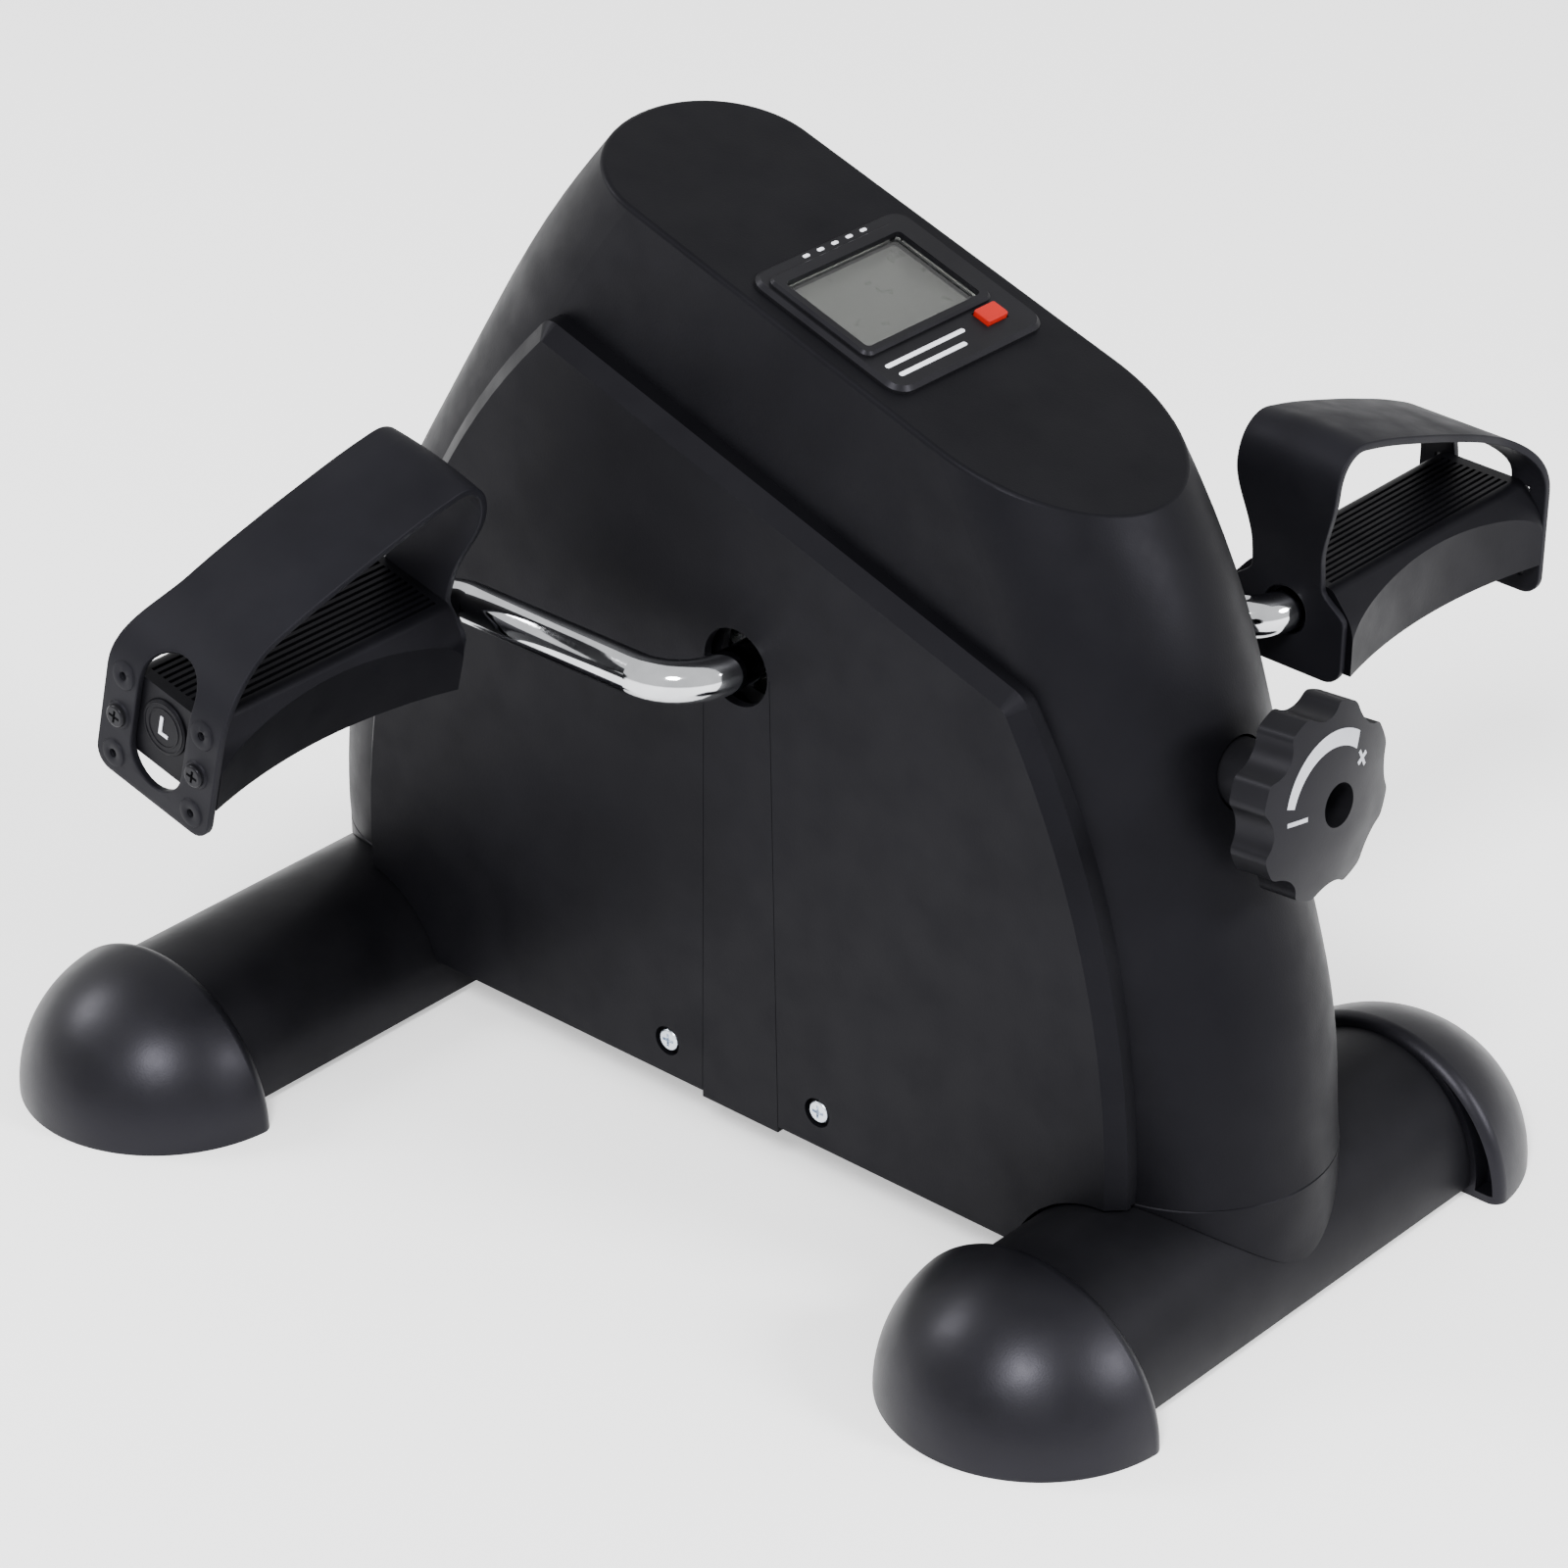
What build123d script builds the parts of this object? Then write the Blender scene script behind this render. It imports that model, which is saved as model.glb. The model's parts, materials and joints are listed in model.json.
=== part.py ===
from build123d import *
import math
import os

# Pedal exerciser, millimetres. +X is the user's right, -Y the end with the tension knob,
# +Z up. The origin is on the floor, midway between the two leg bars.

# ---- driving dimensions ----
LEG_Y = 150            # each leg bar's centre line, fore and aft
LEG_R = 35             # leg bar: crown radius
LEG_AXIS_Z = 6         # height of the crown's centre
LEG_FLAT_Z = 3         # height of the bar's flat underside
LEG_WALL = 2.5
FRONT_FACE_X = 78.35   # inner faces of the front foot caps
REAR_FACE_X = 129      # inner faces of the rear foot caps
CAP_SEMI = (46.5, 45.7, 44.2)
CAP_SOCKET = 6         # how deep a leg bar sits in its cap
CAP_WALL = 2.5
CAP_RIM = 4            # rounding round the mouth of a cap

SEAM_Z = 42.5          # where the cover meets the base tray at nose and tail
SEAM_GROOVE = 0.7
WALL = 3
# height, nose, tail and half width of the cover's stadium-shaped plan
COVER_STATIONS = [
    (SEAM_Z, -183.5, 184, 42),
    (74, -180.5, 182.7, 42),
    (114, -170.5, 175, 42),
    (151, -158.5, 161, 41.4),
    (196, -144, 136, 40.2),
    (236, -122.5, 112, 39),
    (272, -99, 88, 37.8),
    (304, -76, 62, 37),
]
TOP_Z = 275.4          # sloping top at y = 0
TOP_SLOPE = 0.33
TOP_TILT = math.degrees(math.atan(TOP_SLOPE))

PANEL_X = 48.7         # outer face of the raised side panels
PANEL_ROOT = 37
PANEL_Z = 17.2         # lower edge of the side panels
PANEL_BEVEL = 4.6
PANEL_PAST_LEG = 3     # how far each upright edge stands behind or before its leg's centre line
PANEL_SHOULDER = (-112, 190)
PANEL_FRONT_MID = (-145.2, 110)
PANEL_PEAK = (64, 249)
PANEL_REAR_MID = (128.3, 150)
ARCH_R = LEG_R + 1
TRAY_X = 42
TRAY_Z = 14.2

CRANK_Y = -11
CRANK_Z = 165
ROD_R = 6.35           # half-inch rod
CRANK_THROW = 94.5
ARM_X = 70             # plane of each crank arm
SPINDLE_X = 172        # free end of each pedal spindle
HOLE_R = 12            # crank hole in the cover
RUN_FIT = 0.05         # radial clearance of a shaft in its bearing
GAP = 0.3              # clearance between moving pieces

PEDAL_IN = 84.5        # inner and outer ends of the pedal block
PEDAL_OUT = 179
PEDAL_TILT = {"left": 13.9, "right": 1}
PEDAL_HALF = 23        # half width of the block at its ends
PEDAL_WAIST = 17       # and in the middle
TREAD_HALF = 14.5
TREAD_Z = 11
BLOCK_FOOT = -14.5     # underside of the block
GROOVES = 11
GROOVE_PITCH = 2.3
NUT_X = (165, 170)     # where the spindle nut sits
BADGE_R = 8.6
STRAP_THICK = 2.5
STRAP_HALF = 17.5      # half width of the strap over the foot
STRAP_FOOT = -25.5     # lower end of the strap's outer plate
STRAP_HEEL = -18       # lower end of its inner plate
STRAP_HEEL_HALF = 21   # half width of the inner plate
STRAP_NECK = 12.5      # and of the neck just above it
STRAP_SCREW_Y = 16
STRAP_SCREW_Z = -5.1
STRAP_HOLE_STEP = 13.7

KNOB_FACE = (0, -186.6, 165.7)
KNOB_TILT = 4
KNOB_R = 28.2
KNOB_DEPTH = 16.4
KNOB_LOBES = 8
KNOB_DOME_R = 90
SCREW_R = 4            # tension screw and flywheel axle
TENSION_Y = -139       # front face of the screw's bracket
BRAKE_TRAVEL = 7.33

WHEEL_Y = -80
WHEEL_Z = 117
WHEEL_R = 48
BIG_PULLEY_R = 52      # belt radius on the crank
SMALL_PULLEY_R = 14    # belt radius on the flywheel
BELT_X = (11, 21)
CHEEK_LEFT = (-34, -31)
CHEEK_RIGHT = (26, 29)

BEAM = (30, 336, 20)
BEAM_TOP = SEAM_Z + BEAM[2]
SHELL_X = (-36, 4)     # bottom bracket shell
SHELL_R = 19
BEARING_R = 14
SCREW_YZ = [(18, 28.7), (-41.6, 28.7)]
SCREW_HEAD_R = 3.6
SCREW_SEAT_X = PANEL_X - 2.3
TRAY_SCREW_Y = (-60, 60)

CONSOLE_AT = (-0.25, -30.15)
BEZEL = (63.5, 58.9)
WINDOW = (48, 32)
WINDOW_AT = (-2.6, 4.3)
BUTTON = (8.6, 6)
BUTTON_AT = (17.8, -18.8)

LEGS = {"front": (-LEG_Y, FRONT_FACE_X), "rear": (LEG_Y, REAR_FACE_X)}
SIDES = {"left": -1, "right": 1}

os.makedirs("parts", exist_ok=True)


# ---- helpers ----
def save(name, *shapes):
    """Write one node; several shapes stay separate solids."""
    if len(shapes) == 1:
        node = shapes[0]
    else:
        node = Compound(children=list(shapes))
    node.label = name
    export_step(node, f"parts/{name}.step")


def block(x0, x1, y0, y1, z0, z1):
    centre = ((x0 + x1) / 2, (y0 + y1) / 2, (z0 + z1) / 2)
    return Pos(*centre) * Box(x1 - x0, y1 - y0, z1 - z0)


def rod_x(radius, x0, x1, y, z):
    """A cylinder along X."""
    return Pos((x0 + x1) / 2, y, z) * Rot(0, 90, 0) * Cylinder(radius, x1 - x0)


def prism_x(face, x0, x1):
    """Push a face drawn in (y, z) along X."""
    return Pos(x0, 0, 0) * extrude(Plane.YZ * face, x1 - x0)


def ring_x(outer, inner, x0, x1, y, z):
    return rod_x(outer, x0, x1, y, z) - rod_x(inner, x0 - 1, x1 + 1, y, z)


def side_of(shape, side):
    """Pieces are drawn on the right; side -1 mirrors one to the left."""
    if side > 0:
        return shape
    return mirror(shape, about=Plane.YZ)


def cross_slot(radius, depth):
    """The cross recess of a screw head whose top is at z = 0."""
    bar = Box(radius * 1.2, radius * 0.26, depth * 2)
    return bar + Rot(0, 0, 90) * bar


def cross_screw(head_r, head_h, shank_r, length):
    """A cross-head screw along Z with its head's top at z = 0."""
    head = Pos(0, 0, -head_h / 2) * Cylinder(head_r, head_h)
    head = fillet(head.edges().group_by(Axis.Z)[-1], head_h * 0.4)
    shank = Pos(0, 0, -(head_h + length / 2)) * Cylinder(shank_r, length)
    return head + shank - cross_slot(head_r, head_h * 0.6)


# ---- legs and feet ----
def leg_section(radius, flat_z):
    """A round-topped, flat-bottomed section in (y, z), centred on y = 0."""
    circle = Pos(0, LEG_AXIS_Z) * Circle(radius)
    return circle & Pos(0, flat_z + radius) * Rectangle(4 * radius, 2 * radius)


def leg_bar(y, face_x):
    half = face_x + CAP_SOCKET
    outer = prism_x(Pos(y, 0) * leg_section(LEG_R, LEG_FLAT_Z), -half, half)
    inner = prism_x(
        Pos(y, 0) * leg_section(LEG_R - LEG_WALL, LEG_FLAT_Z + LEG_WALL), -half - 1, half + 1
    )
    bolt_hole = Pos(0, y, LEG_AXIS_Z + LEG_R) * Cylinder(4.2, 20)
    return outer - inner - bolt_hole


def dome(shrink, x_limit, floor_z, rim=0):
    """The half ellipsoid of a foot cap, cut off at its floor, with its face at x = 0."""
    egg = Sphere(1) & block(0, 2, -2, 2, -2, 2)
    if rim:
        mouth = egg.faces().sort_by(Axis.X)[0].edges()
        egg = fillet(mouth, rim / CAP_SEMI[1])
    egg = scale(egg, by=tuple(semi - shrink for semi in CAP_SEMI))
    return egg & block(0, x_limit, -60, 60, floor_z, 60)


def foot_cap():
    """A foot cap on the right of a leg bar: its inner face is at x = 0, outside at +X."""
    shell = dome(0, 60, 0, CAP_RIM)
    collar = prism_x(leg_section(LEG_R + 2.2, 0), -1, 60)
    recess = dome(CAP_WALL, CAP_SOCKET, CAP_WALL) - collar
    socket = prism_x(leg_section(LEG_R + RUN_FIT, LEG_FLAT_Z - RUN_FIT), -1, CAP_SOCKET)
    plug_r = LEG_R - LEG_WALL - RUN_FIT
    plug_z = LEG_FLAT_Z + LEG_WALL + RUN_FIT
    plug = prism_x(leg_section(plug_r, plug_z), -20, CAP_SOCKET)
    plug -= prism_x(leg_section(plug_r - 3, plug_z + 3), -21, CAP_SOCKET)
    return shell - recess - socket + plug


# ---- covers ----
def top_plane(drop=0):
    """The cover's sloping top: local x to the right, y up the slope, z out of the top."""
    tilted = Plane(origin=(0, 0, TOP_Z)).rotated((TOP_TILT, 0, 0))
    return tilted.offset(-drop)


def cover_body(inset):
    sections = []
    for z, nose, tail, half in COVER_STATIONS:
        outline = SlotOverall(tail - nose - 2 * inset, 2 * (half - inset), rotation=90)
        sections.append(Pos(0, (nose + tail) / 2, z) * outline)
    body = loft(sections)
    return split(body, bisect_by=top_plane(inset), keep=Keep.BOTTOM)


def panel_outline():
    """Side panel in (y, z): two long arcs, a straight sloping top and an arch over each leg."""
    bottom_y = LEG_Y - math.sqrt(ARCH_R**2 - (PANEL_Z - LEG_AXIS_Z) ** 2)
    arch_top = LEG_AXIS_Z + math.sqrt(ARCH_R**2 - PANEL_PAST_LEG**2)
    arch_mid_y = LEG_Y - ARCH_R * math.cos(math.radians(50))
    arch_mid_z = LEG_AXIS_Z + ARCH_R * math.sin(math.radians(50))
    front_foot = (-LEG_Y - PANEL_PAST_LEG, arch_top)
    rear_foot = (LEG_Y - PANEL_PAST_LEG, arch_top)
    outline = make_face(
        [
            Line((-bottom_y, PANEL_Z), (bottom_y, PANEL_Z)),
            ThreePointArc((bottom_y, PANEL_Z), (arch_mid_y, arch_mid_z), rear_foot),
            ThreePointArc(rear_foot, PANEL_REAR_MID, PANEL_PEAK),
            Line(PANEL_PEAK, PANEL_SHOULDER),
            ThreePointArc(PANEL_SHOULDER, PANEL_FRONT_MID, front_foot),
            ThreePointArc(front_foot, (-arch_mid_y, arch_mid_z), (-bottom_y, PANEL_Z)),
        ]
    )
    peak = outline.vertices().sort_by(Axis.Y)[-1]
    outline = fillet(peak, 5.5)
    shoulder = outline.vertices().filter_by(lambda v: v.X < -90 and v.Y > 150)
    return fillet(shoulder, 9)


def slot_face(grow):
    """The strip below the crank hole, in (y, z), widening a little towards its foot."""
    y_top = (CRANK_Y - 12.6, CRANK_Y + 12.2)
    y_foot = (CRANK_Y - 15.2, CRANK_Y + 14.8)
    foot_z = PANEL_Z - 2 - grow
    corners = [
        (y_top[0] - grow, CRANK_Z),
        (y_foot[0] - grow, foot_z),
        (y_foot[1] + grow, foot_z),
        (y_top[1] + grow, CRANK_Z),
    ]
    return make_face(Polyline(*corners, close=True))


def side_panel():
    """The raised right panel with its bevelled edge, hollow behind its 3 mm face."""
    face = panel_outline()
    slab = prism_x(face, PANEL_ROOT, PANEL_X)
    rim = slab.faces().sort_by(Axis.X)[-1].edges()
    upper = [e for e in rim if e.center().Z > SEAM_Z]
    slab = chamfer(upper, PANEL_BEVEL)
    pocket = prism_x(offset(face, -5, kind=Kind.INTERSECTION), 0, PANEL_X - WALL)
    under = block(0, TRAY_X + GAP, -200, 200, 0, SEAM_Z)
    return slab - pocket - under


def main_cover():
    cover = cover_body(0)
    upward = Axis((0, 0, 0), top_plane().z_dir)
    crease = cover.faces().sort_by(upward)[-1].edges()
    cover = fillet(crease, 1.5)
    cover -= cover_body(WALL)
    for side in (1, -1):
        cover += side_of(side_panel(), side)
        for y, z in SCREW_YZ:
            cover += side_of(rod_x(5.5, TRAY_X + GAP, SCREW_SEAT_X, y, z), side)
            cover -= side_of(rod_x(4.75, SCREW_SEAT_X, PANEL_X + 1, y, z), side)
            cover -= side_of(rod_x(2.2, TRAY_X, PANEL_X, y, z), side)
        cover -= side_of(rod_x(HOLE_R, 30, 60, CRANK_Y, CRANK_Z), side)
        cover -= side_of(prism_x(slot_face(0.2), 30, 60), side)
    cover -= console_plane() * extrude(RectangleRounded(58.4, 53.4, 4), 20, both=True)
    cover -= knob_plane() * Pos(0, 0, -40) * Cylinder(10.8, 60)
    return cover


def slot_cover():
    """Strip that closes the slot under the crank hole, flush with the side panel."""
    plate = prism_x(slot_face(0), PANEL_X - WALL, PANEL_X)
    ribs = prism_x(offset(slot_face(0), -2.5, kind=Kind.INTERSECTION), TRAY_X + GAP, PANEL_X - WALL)
    ribs -= prism_x(offset(slot_face(0), -5, kind=Kind.INTERSECTION), TRAY_X, PANEL_X)
    return plate + ribs - rod_x(HOLE_R, 30, 60, CRANK_Y, CRANK_Z)


def base_tray():
    nose, tail = COVER_STATIONS[0][1:3]
    outline = Pos(0, (nose + tail) / 2) * SlotOverall(tail - nose, 2 * TRAY_X, rotation=90)
    tray = Pos(0, 0, TRAY_Z) * extrude(outline, SEAM_Z - TRAY_Z)
    tray = chamfer(tray.faces().sort_by(Axis.Z)[-1].edges(), SEAM_GROOVE)
    pocket = block(-TRAY_X + WALL, TRAY_X - WALL, -120, 120, TRAY_Z + WALL, 60)
    for y in (-LEG_Y, LEG_Y):
        tray -= rod_x(LEG_R + GAP, -60, 60, y, LEG_AXIS_Z)
        pocket -= rod_x(LEG_R + WALL, -60, 60, y, LEG_AXIS_Z)
    tray -= pocket
    for y in TRAY_SCREW_Y:
        tray += Pos(0, y, (TRAY_Z + SEAM_Z) / 2) * Cylinder(6, SEAM_Z - TRAY_Z)
        tray -= Pos(0, y, 0) * Cylinder(2.7, 100)
        tray -= Pos(0, y, TRAY_Z) * Cylinder(5.2, 5)
    for side in (1, -1):
        for y, z in SCREW_YZ:
            tray += side_of(rod_x(5, 30, TRAY_X - 1, y, z), side)
            tray -= side_of(rod_x(2.2, 28, 50, y, z), side)
    for y in (-LEG_Y, LEG_Y):
        tray -= Pos(0, y, SEAM_Z) * Cylinder(4.4, 20)
    return tray


# ---- inner frame ----
def frame_beam():
    width, length, height = BEAM
    beam = Box(width, length, height) - Box(width - 4, length + 2, height - 4)
    beam = Pos(0, 0, SEAM_Z + height / 2) * beam
    for y in (-LEG_Y, LEG_Y):
        beam -= Pos(0, y, SEAM_Z) * Cylinder(4.2, 60)
    for y in TRAY_SCREW_Y:
        beam -= Pos(0, y, SEAM_Z) * Cylinder(2.5, 10)
    return beam


def crank_post():
    post = block(-24, -4, CRANK_Y - 15, CRANK_Y + 15, BEAM_TOP, CRANK_Z)
    post -= block(-22, -6, CRANK_Y - 13, CRANK_Y + 13, BEAM_TOP - 1, CRANK_Z)
    return post - rod_x(SHELL_R, -60, 60, CRANK_Y, CRANK_Z)


def flywheel_bracket():
    """A U-shaped bracket on the beam: its two cheeks hold the flywheel's axle."""
    front_y = WHEEL_Y - 20
    rear_y = WHEEL_Y + 20
    neck = (WHEEL_Y - 10, WHEEL_Z), (WHEEL_Y, WHEEL_Z + 10), (WHEEL_Y + 10, WHEEL_Z)
    profile = make_face(
        [
            Line((front_y, BEAM_TOP), (rear_y, BEAM_TOP)),
            Line((rear_y, BEAM_TOP), neck[2]),
            ThreePointArc(*neck),
            Line(neck[0], (front_y, BEAM_TOP)),
        ]
    )
    bracket = prism_x(profile, *CHEEK_LEFT) + prism_x(profile, *CHEEK_RIGHT)
    bracket += block(CHEEK_LEFT[0], CHEEK_RIGHT[1], front_y, rear_y, BEAM_TOP, BEAM_TOP + 3)
    return bracket - rod_x(SCREW_R, -60, 60, WHEEL_Y, WHEEL_Z)


def hex_nut(across, height, bore):
    """A nut along X, with its near face at x = 0."""
    nut = Rot(0, 90, 0) * extrude(RegularPolygon(across / 2, 6, major_radius=False), height)
    return nut - rod_x(bore, -1, height + 1, 0, 0)


def tension_bracket():
    plate = block(-12, 12, TENSION_Y - 3, TENSION_Y, BEAM_TOP, KNOB_FACE[2] + 8)
    foot = block(-12, 12, TENSION_Y, TENSION_Y + 14, BEAM_TOP, BEAM_TOP + 3)
    return plate + foot - knob_plane() * Pos(0, 0, -50) * Cylinder(SCREW_R + RUN_FIT, 60)


# ---- crank and drive ----
def crank():
    """One bent rod: pedal spindle, arm, axle, arm, pedal spindle."""
    rear = CRANK_Y + CRANK_THROW
    front = CRANK_Y - CRANK_THROW
    path = FilletPolyline(
        (-SPINDLE_X, rear, CRANK_Z),
        (-ARM_X, rear, CRANK_Z),
        (-ARM_X, CRANK_Y, CRANK_Z),
        (ARM_X, CRANK_Y, CRANK_Z),
        (ARM_X, front, CRANK_Z),
        (SPINDLE_X, front, CRANK_Z),
        radius=[12, 18, 18, 12],
    )
    section = Plane(origin=path @ 0, z_dir=path % 0) * Circle(ROD_R)
    rod = sweep(section, path=path)
    ends = rod.edges().filter_by(GeomType.CIRCLE).group_by(Axis.X)
    return chamfer(ends[0] + ends[-1], 0.8)


def drive_pulley():
    x0, x1 = BELT_X[0] - 1, BELT_X[1] + 1
    seat = BIG_PULLEY_R - GAP
    rim = ring_x(seat, seat - 4, x0, x1, CRANK_Y, CRANK_Z)
    for x in (x0, x1 - 0.8):
        rim += ring_x(seat + 2.5, seat - 4, x, x + 0.8, CRANK_Y, CRANK_Z)
    web = rod_x(seat - 2, 14, 18, CRANK_Y, CRANK_Z)
    for i in range(6):
        angle = math.radians(60 * i)
        y = CRANK_Y + 32 * math.cos(angle)
        z = CRANK_Z + 32 * math.sin(angle)
        web -= rod_x(8, 10, 22, y, z)
    hub = rod_x(14, x0, x1, CRANK_Y, CRANK_Z)
    return rim + web + hub - rod_x(ROD_R, 0, 40, CRANK_Y, CRANK_Z)


def drive_belt():
    circles = [
        Pos(CRANK_Y, CRANK_Z) * Circle(BIG_PULLEY_R),
        Pos(WHEEL_Y, WHEEL_Z) * Circle(SMALL_PULLEY_R),
    ]
    inner = make_hull(circles[0].edges() + circles[1].edges())
    loop = offset(inner, 2) - inner
    return prism_x(loop, *BELT_X)


def flywheel():
    disc = ring_x(WHEEL_R, 11, -27, -9, WHEEL_Y, WHEEL_Z)
    disc -= ring_x(WHEEL_R - 10, 18, -28, -22, WHEEL_Y, WHEEL_Z)
    disc -= ring_x(WHEEL_R - 10, 18, -14, -8, WHEEL_Y, WHEEL_Z)
    return disc


def flywheel_pulley():
    seat = SMALL_PULLEY_R - GAP
    sleeve = rod_x(seat, -9, BELT_X[1] + 1, WHEEL_Y, WHEEL_Z)
    for x in (BELT_X[0] - 1, BELT_X[1] + 0.2):
        sleeve += rod_x(seat + 2.5, x, x + 0.8, WHEEL_Y, WHEEL_Z)
    sleeve -= rod_x(11, 14, 40, WHEEL_Y, WHEEL_Z)
    return sleeve - rod_x(SCREW_R + 2, -40, 40, WHEEL_Y, WHEEL_Z)


def flywheel_bearing(x):
    return ring_x(11, SCREW_R + RUN_FIT, x, x + 7, WHEEL_Y, WHEEL_Z)


# ---- tension knob and brake ----
def knob_plane():
    """Knob face: local x to the right, y up, z out towards the user."""
    tilt = math.radians(KNOB_TILT)
    outward = (0, -math.cos(tilt), math.sin(tilt))
    return Plane(origin=KNOB_FACE, x_dir=(1, 0, 0), z_dir=outward)


def tension_knob():
    """Domed knob with round lobes, hollow behind, on a hub and neck."""
    scallop_r = 9.5
    scallop_at = KNOB_R - 3.6 + scallop_r
    rim = Circle(KNOB_R)
    for i in range(KNOB_LOBES):
        angle = math.radians(360 / KNOB_LOBES * i)
        rim -= Pos(scallop_at * math.cos(angle), scallop_at * math.sin(angle)) * Circle(scallop_r)
    rim = fillet(rim.vertices(), 3)
    grip = Pos(0, 0, -KNOB_DEPTH) * extrude(rim, KNOB_DEPTH)
    grip &= Pos(0, 0, -KNOB_DOME_R) * Sphere(KNOB_DOME_R)
    grip -= Pos(0, 0, -KNOB_DEPTH) * (Cylinder(20, 16) - Cylinder(10, 16))
    hub = Pos(0, 0, -25) * Cylinder(10, 22)
    neck = Pos(0, 0, -36 - 4.1) * Cylinder(7, 8.2)
    knob = grip + hub + neck
    knob -= Pos(0, 0, -2) * Cylinder(6.4, 16)
    knob -= Pos(0, 0, -30) * Cylinder(SCREW_R, 60)
    return knob_plane() * knob


def tension_screw():
    return knob_plane() * Pos(0, 0, -10 - 42) * Cylinder(SCREW_R, 84)


def screw_clip():
    ring = Cylinder(7, 1.2) - Cylinder(SCREW_R, 2)
    return knob_plane() * Pos(0, 0, -49.5) * ring


def brake_frame():
    """Where the brake shoe's arc is centred at rest: the flywheel's centre, backed off."""
    tilt = math.radians(KNOB_TILT)
    y = WHEEL_Y - BRAKE_TRAVEL * math.cos(tilt)
    z = WHEEL_Z + BRAKE_TRAVEL * math.sin(tilt)
    return y, z


def arc_shoe(inner, outer, start, end, x0, x1):
    """A curved bar round the flywheel's rim; angles from +Y towards +Z."""
    y, z = brake_frame()
    band = Circle(outer) - Circle(inner)
    wedge_points = [(0, 0)]
    for step in range(4):
        angle = math.radians(start + (end - start) * step / 3)
        wedge_points.append((90 * math.cos(angle), 90 * math.sin(angle)))
    wedge = make_face(Polyline(*wedge_points, close=True))
    return prism_x(Pos(y, z) * (band & wedge), x0, x1)


def brake_carrier():
    nut = knob_plane() * Pos(0, -1, -62.5) * Box(16, 16, 12)
    shoe = arc_shoe(WHEEL_R + 4.2, WHEEL_R + 7.2, 118, 150, -27, -7)
    return nut + shoe - knob_plane() * Pos(0, 0, -60) * Cylinder(SCREW_R + RUN_FIT, 80)


def brake_magnets():
    magnets = []
    for start in (120, 130, 140):
        magnets.append(arc_shoe(WHEEL_R + 1.2, WHEEL_R + 4.2, start, start + 8, -26, -10))
    return magnets


# ---- speed sensor ----
def sensor_lead():
    """Lead from the sensor on the post, behind the crank shell, up to the console."""
    route = FilletPolyline(
        (0, CRANK_Y + 5, 125),
        (0, 24, 125),
        (0, 28, 225),
        (0, -29, 244),
        radius=[13, 24],
    )
    section = Plane(origin=route @ 0, z_dir=route % 0) * Circle(1.2)
    return sweep(section, path=route)


# ---- console ----
def console_plane():
    """Centre of the console's plate on the cover's top."""
    return top_plane() * Pos(*CONSOLE_AT, 0)


def console_bezel():
    plate = extrude(RectangleRounded(*BEZEL, 6), 2.2)
    plate = chamfer(plate.edges().group_by(Axis.Z)[-1], 1.2)
    frame = extrude(RectangleRounded(WINDOW[0] + 6, WINDOW[1] + 7, 3), 1.6)
    frame = Pos(WINDOW_AT[0], WINDOW_AT[1] + 0.8, 2.2) * frame
    frame = chamfer(frame.edges().group_by(Axis.Z)[-1], 0.8)
    tub = Pos(0, 0, -14) * extrude(RectangleRounded(58, 53, 4), 14)
    tub -= Pos(0, 0, -15) * extrude(RectangleRounded(54, 49, 2), 13)
    bezel = plate + frame + tub
    bezel -= Pos(*WINDOW_AT, -5) * extrude(RectangleRounded(*WINDOW, 1.5), 12)
    bezel -= Pos(*BUTTON_AT, -5) * extrude(Rectangle(BUTTON[0] + 0.5, BUTTON[1] + 0.5), 12)
    return console_plane() * bezel


def console_lens():
    lens = extrude(RectangleRounded(WINDOW[0] - 0.2, WINDOW[1] - 0.2, 1.4), 1.4)
    return console_plane() * Pos(*WINDOW_AT, 0.6) * lens


def lcd_panel():
    return console_plane() * Pos(*WINDOW_AT, -3.2) * Box(WINDOW[0] + 0.6, WINDOW[1] + 0.6, 2.4)


def circuit_board():
    return console_plane() * Pos(0, 0, -8.2) * Box(52, 47, 1.6)


def button_switch():
    return console_plane() * Pos(*BUTTON_AT, -7) * Box(6, 5, 0.8)


def battery():
    return console_plane() * Pos(-10, 0, -10.6) * Cylinder(10, 3.2)


def reset_button():
    cap = Pos(0, 0, -2) * extrude(RectangleRounded(*BUTTON, 0.8), 5.9)
    cap = fillet(cap.edges().group_by(Axis.Z)[-1], 0.6)
    plunger = Pos(0, 0, -5.5) * extrude(Rectangle(5, 4), 3.6)
    return console_plane() * Pos(*BUTTON_AT, 0) * (cap + plunger)


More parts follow.
